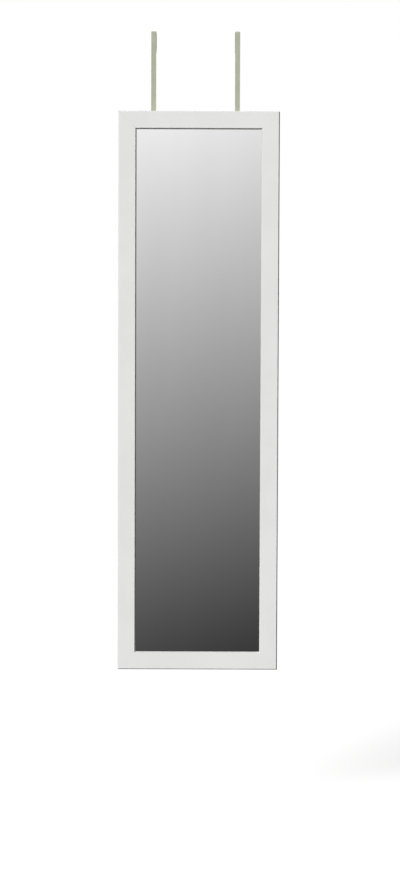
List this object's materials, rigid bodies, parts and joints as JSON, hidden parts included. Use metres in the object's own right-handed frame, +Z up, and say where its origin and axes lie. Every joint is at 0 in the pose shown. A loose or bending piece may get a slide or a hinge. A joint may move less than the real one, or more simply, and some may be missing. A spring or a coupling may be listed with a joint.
{
  "type": "over-the-door mirror",
  "caption": "Tall framed mirror that hangs on flat steel hooks over the top of a door and slides on them to set its height.",
  "frame": {"origin": "top front edge of the door, under the hooks' tops, on the frame's centre line", "axes": "+Z up; +Y from the mirror into the door, so the mirror faces -Y; +X to the right as the mirror is faced"},
  "size_m": [0.388, 0.0661, 1.5425],
  "materials": {
    "frame": "satin",
    "mirror_glass": "polished",
    "packing_card": "matte",
    "backing_board": "matte",
    "hook_paint": "satin",
    "zinc_steel": "satin",
    "felt": "matte",
    "bumper_rubber": "matte"
  },
  "bodies": {
    "door_hooks": {"left_hook": "hook_paint", "right_hook": "hook_paint", "left_front_pad": "felt", "right_front_pad": "felt", "left_rear_pad": "felt", "right_rear_pad": "felt"},
    "mirror": {"top_rail": "frame", "bottom_rail": "frame", "left_stile": "frame", "right_stile": "frame", "mirror_glass": "mirror_glass", "packing_card": "packing_card", "backing_board": "backing_board", "backing_points": "zinc_steel", "corner_nails": "zinc_steel", "left_clamp_screws": "zinc_steel", "right_clamp_screws": "zinc_steel", "left_clamp_washers": "zinc_steel", "right_clamp_washers": "zinc_steel", "top_left_bumper": "bumper_rubber", "top_right_bumper": "bumper_rubber", "bottom_left_bumper": "bumper_rubber", "bottom_right_bumper": "bumper_rubber"}
  },
  "joints": [
    {"name": "height_adjust", "type": "slide", "parent": "door_hooks", "child": "mirror", "axis": [0, 0, 1], "range_m": [-0.055, 0]}
  ]
}
